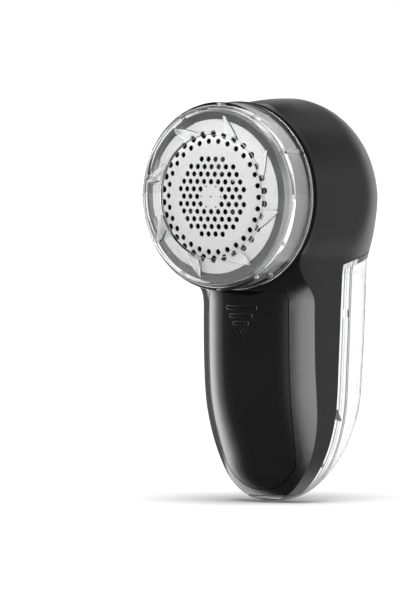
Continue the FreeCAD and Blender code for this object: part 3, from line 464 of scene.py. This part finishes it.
def build_guard():
    """Guard: banded wall, shoulder, plate and hoop, with leaves, guide ribs and rim studs."""
    guard = turned("clear_guard", GUARD_SECTION, GUARD_STEPS)
    # The hoop's inner lip gets the painted shade edge as well.
    looks = [LEAF_PAINTED_SHADE_EDGE if corner == HOOP_LIP else PLAIN for corner in GUARD_SECTION]
    dress(guard, looks * GUARD_STEPS)
    tools = [leaf(f"leaf_{k}", FIRST_LEAF + 360 / LEAF_COUNT * k) for k in range(LEAF_COUNT)]
    tools += [stud(f"stud_{k}", 360 / STUD_COUNT * k) for k in range(STUD_COUNT)]
    tools += [guide(f"guide_{k}", FIRST_GUIDE + 360 / GUIDE_COUNT * k) for k in range(GUIDE_COUNT)]
    join_solids(guard, tools)
    guard.visible_shadow = False
    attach(guard, "guard")
    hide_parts("guard_cap")


# ---------------------------------------------------------------- mark on the battery cover

# The sunk bars as (half width, lower and upper height), and the head under them, in mm.
ARROW_BARS = [(6.5, 70.1, 70.9), (4.8, 67.2, 68.0), (3.2, 64.5, 65.3)]
ARROW_HEAD = [(0, 60.0), (2.2, 62.9), (1.5, 62.9), (0, 61.0), (-1.5, 62.9), (-2.2, 62.9)]
# Section of their raised edge, as (distance outwards, height over the cover), and the longest
# step along it, in mm.
ARROW_EDGE = ((0.02, -0.05), (0.2, 0.09), (0.4, -0.05))
ARROW_STEP = 0.8
# Depth well in front of the cover, in metres.
FAR_IN_FRONT = -0.2


def mark_cover():
    """Raised edges round the arrow that is sunk in the cover, laid on the cover's own surface."""
    cover = frame["nodes"]["battery_cover"]
    bars = [[(-x, low), (x, low), (x, high), (-x, high)] for x, low, high in ARROW_BARS]
    points, faces = [], []
    into = cover.matrix_world.inverted()
    backwards = into.to_3x3() @ Vector((0, 1, 0))
    for outline in bars + [ARROW_HEAD]:
        path = []
        for (x0, z0), (x1, z1) in zip(outline, outline[1:] + outline[:1]):
            steps = max(int(math.hypot(x1 - x0, z1 - z0) / ARROW_STEP), 1)
            path += [(x0 + (x1 - x0) * k / steps, z0 + (z1 - z0) * k / steps) for k in range(steps)]
        start, count = len(points), len(path)
        for k, (x, z) in enumerate(path):
            (xa, za), (xb, zb) = path[k - 1], path[(k + 1) % count]
            run = Vector((xb - xa, 0, zb - za)).normalized()
            out = Vector((run.z, 0, -run.x))
            for shift, rise in ARROW_EDGE:
                px, pz = (x + out.x * shift) * MM, (z + out.z * shift) * MM
                hit, place, _, _ = cover.ray_cast(into @ Vector((px, FAR_IN_FRONT, pz)), backwards)
                place = cover.matrix_world @ place if hit else Vector((px, cad_low[1], pz))
                points.append(place + Vector((0, -rise * MM, 0)))
        for k in range(count):
            a, b = start + 3 * k, start + 3 * ((k + 1) % count)
            faces += [(a, b, b + 1, a + 1), (a + 1, b + 1, b + 2, a + 2), (a + 2, b + 2, b, a)]
    mark = mesh_piece("cover_mark", points, faces, 20.0)
    mark.data.materials.append(LOOKS["black_gloss"])
    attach(mark, "battery_door")


build_guard()
mark_cover()
# Clear plastic lets the overhead light through.
frame["nodes"]["lint_box"].visible_shadow = False


# ---------------------------------------------------------------- camera, floor and light

VIEW_AZIMUTH = math.radians(36.0)
VIEW_HEIGHT = math.radians(2.0)
FRAME_HEIGHT = 0.216
CAMERA_DISTANCE = 3.5
SENSOR = 36.0
# The point it looks at: how far right in the picture (left if negative) and how high, in metres.
AIM_RIGHT, AIM_HEIGHT = -0.0274, 0.0726


def place_camera():
    """Long lens from the front right, a little above the middle of the object."""
    right = Vector((math.cos(VIEW_AZIMUTH), math.sin(VIEW_AZIMUTH), 0))
    back = Vector((math.sin(VIEW_AZIMUTH), -math.cos(VIEW_AZIMUTH), 0)) * math.cos(VIEW_HEIGHT)
    back.z = math.sin(VIEW_HEIGHT)
    target = right * AIM_RIGHT + Vector((0, 0, AIM_HEIGHT))
    lens = bpy.data.cameras.new("camera")
    lens.sensor_width = SENSOR
    lens.lens = SENSOR * CAMERA_DISTANCE / FRAME_HEIGHT
    lens.clip_start = 0.05
    lens.clip_end = 50.0
    camera = bpy.data.objects.new("camera", lens)
    camera.location = target + back * CAMERA_DISTANCE
    camera.rotation_mode = "QUATERNION"
    camera.rotation_quaternion = (-back).to_track_quat("-Z", "Y")
    bpy.context.collection.objects.link(camera)
    bpy.context.scene.camera = camera


def lay_floor():
    """Wide pale floor that meets the pale surroundings at the horizon."""
    bpy.ops.mesh.primitive_circle_add(vertices=96, radius=12.0, fill_type="NGON", location=(0, 0, 0))
    floor = bpy.context.object
    floor.name = "floor"
    material, nodes, links, shader = new_material("floor_look")
    speckle = noise(nodes, links, 40.0)
    tone = blend(nodes, links, spread(nodes, links, speckle, 0, 1), (0.9, 0.9, 0.9), (0.92, 0.92, 0.92))
    links.new(tone, shader.inputs["Base Color"])
    shader.inputs["Roughness"].default_value = 0.9
    shader.inputs["Specular IOR Level"].default_value = 0.0
    floor.data.materials.append(material)
    floor.visible_glossy = False


# Brightness of the studio as glossy surfaces see it, by compass angle: two soft boxes, one on
# the left and one beside the camera, dark cards between them, and the white backdrop behind.
SOFT_BOXES = [
    (-180, 1.0),
    (-150, 0.42),
    (-132, 0.2),
    (-106, 0.3),
    (-99, 4.5),
    (-90, 4.5),
    (-78, 1.4),
    (-66, 0.2),
    (-50, 0.08),
    (14, 0.08),
    (22, 0.2),
    (32, 1.1),
    (46, 5.0),
    (64, 6.2),
    (84, 4.0),
    (104, 0.45),
    (156, 0.45),
    (176, 1.0),
]
# How much of them is left towards the floor and the ceiling, by height from -1 to 1. The last
# step is a lamp box straight overhead.
SOFT_BOX_HEIGHTS = [(0.0, 0.6), (0.2, 0.8), (0.4, 1.0), (0.62, 1.0), (0.78, 0.3), (0.93, 0.3), (0.97, 1.0)]
# The same two for light seen through the clear plastic: the backdrop, and darker cards that
# give its edges their dark lines.
SEEN_THROUGH = [
    (-180, 1.12),
    (-92, 1.12),
    (-84, 0.06),
    (-66, 0.06),
    (-58, 0.42),
    (108, 0.42),
    (116, 0.06),
    (148, 0.06),
    (156, 1.12),
]
SEEN_THROUGH_HEIGHTS = [(0.0, 1.0), (0.74, 1.0), (0.8, 0.3), (0.88, 0.3), (0.94, 0.8)]
BRIGHTEST = 8.0
# Plain brightness of the surroundings as the camera sees them and as dull surfaces do.
BEHIND, ALL_ROUND = 1.12, 0.42


def ramp(nodes, links, value, stops):
    """Piecewise straight curve through (place 0..1, brightness 0..1) stops."""
    curve = nodes.new("ShaderNodeValToRGB")
    curve.color_ramp.interpolation = "LINEAR"
    marks = curve.color_ramp.elements
    while len(marks) > 1:
        marks.remove(marks[-1])
    for k, (place, level) in enumerate(stops):
        mark = marks[0] if k == 0 else marks.new(place)
        mark.position = place
        mark.color = (level, level, level, 1)
    links.new(value, curve.inputs["Fac"])
    return curve.outputs["Color"]


def surroundings(nodes, links, compass, lift, around, heights):
    """Background whose brightness goes by compass angle and by height."""
    level = ramp(nodes, links, compass, [(angle / 360 + 0.5, b / BRIGHTEST) for angle, b in around])
    level = calculate(nodes, links, "MULTIPLY", level, ramp(nodes, links, lift, heights))
    return backdrop(nodes, links, calculate(nodes, links, "MULTIPLY", level, BRIGHTEST))


def backdrop(nodes, links, level):
    """White background of a brightness, a number or a socket."""
    plain = nodes.new("ShaderNodeBackground")
    plain.inputs["Color"].default_value = (1, 1, 1, 1)
    if isinstance(level, (int, float)):
        plain.inputs["Strength"].default_value = level
    else:
        links.new(level, plain.inputs["Strength"])
    return plain.outputs["Background"]


def choose(nodes, links, when, first, second):
    """The second background for one kind of ray, the first for the rest."""
    both = nodes.new("ShaderNodeMixShader")
    links.new(when, both.inputs["Fac"])
    links.new(first, both.inputs[1])
    links.new(second, both.inputs[2])
    return both.outputs["Shader"]


def light_studio():
    """White surroundings, which glossy and clear surfaces see as boxes and dark cards."""
    world = bpy.data.worlds.new("studio")
    bpy.context.scene.world = world
    world.use_nodes = True
    nodes, links = world.node_tree.nodes, world.node_tree.links
    nodes.clear()
    parts = own_place(nodes, links, "Generated")
    x, y, z = parts.outputs["X"], parts.outputs["Y"], parts.outputs["Z"]
    forward = calculate(nodes, links, "MULTIPLY", y, -1.0)
    compass = calculate(nodes, links, "ARCTAN2", x, forward)
    compass = calculate(nodes, links, "MULTIPLY_ADD", compass, 1 / math.tau, 0.5)
    lift = calculate(nodes, links, "MULTIPLY_ADD", z, 0.5, 0.5)
    path = nodes.new("ShaderNodeLightPath")
    clear_rays = path.outputs["Is Transmission Ray"]
    not_clear = calculate(nodes, links, "SUBTRACT", 1.0, clear_rays)
    mirrored = calculate(nodes, links, "MULTIPLY", path.outputs["Is Glossy Ray"], not_clear)
    boxes = surroundings(nodes, links, compass, lift, SOFT_BOXES, SOFT_BOX_HEIGHTS)
    through = surroundings(nodes, links, compass, lift, SEEN_THROUGH, SEEN_THROUGH_HEIGHTS)
    behind, all_round = backdrop(nodes, links, BEHIND), backdrop(nodes, links, ALL_ROUND)
    plain = choose(nodes, links, path.outputs["Is Diffuse Ray"], behind, all_round)
    plain = choose(nodes, links, clear_rays, plain, through)
    out = nodes.new("ShaderNodeOutputWorld")
    links.new(choose(nodes, links, mirrored, plain, boxes), out.inputs["Surface"])


# Overhead light: its lean towards the camera's side, the angle it fills and its strength.
SUN_LEAN, SUN_SOFTNESS, SUN_STRENGTH = math.radians(14), math.radians(42), 3.0


def hang_sun(name, compass, lean, softness, strength):
    """Overhead light, leaning from a compass angle, even all over the floor and not mirrored."""
    light = bpy.data.lights.new(name, "SUN")
    light.energy = strength
    light.angle = softness
    piece = bpy.data.objects.new(name, light)
    piece.location = (0, 0, 1)
    aside = math.sin(lean)
    falls = Vector((-math.sin(compass) * aside, math.cos(compass) * aside, -math.cos(lean)))
    piece.rotation_mode = "QUATERNION"
    piece.rotation_quaternion = falls.to_track_quat("-Z", "Y")
    piece.visible_glossy = False
    bpy.context.collection.objects.link(piece)


place_camera()
lay_floor()
light_studio()
hang_sun("overhead", VIEW_AZIMUTH, SUN_LEAN, SUN_SOFTNESS, SUN_STRENGTH)
bpy.context.scene.view_settings.view_transform = "Standard"
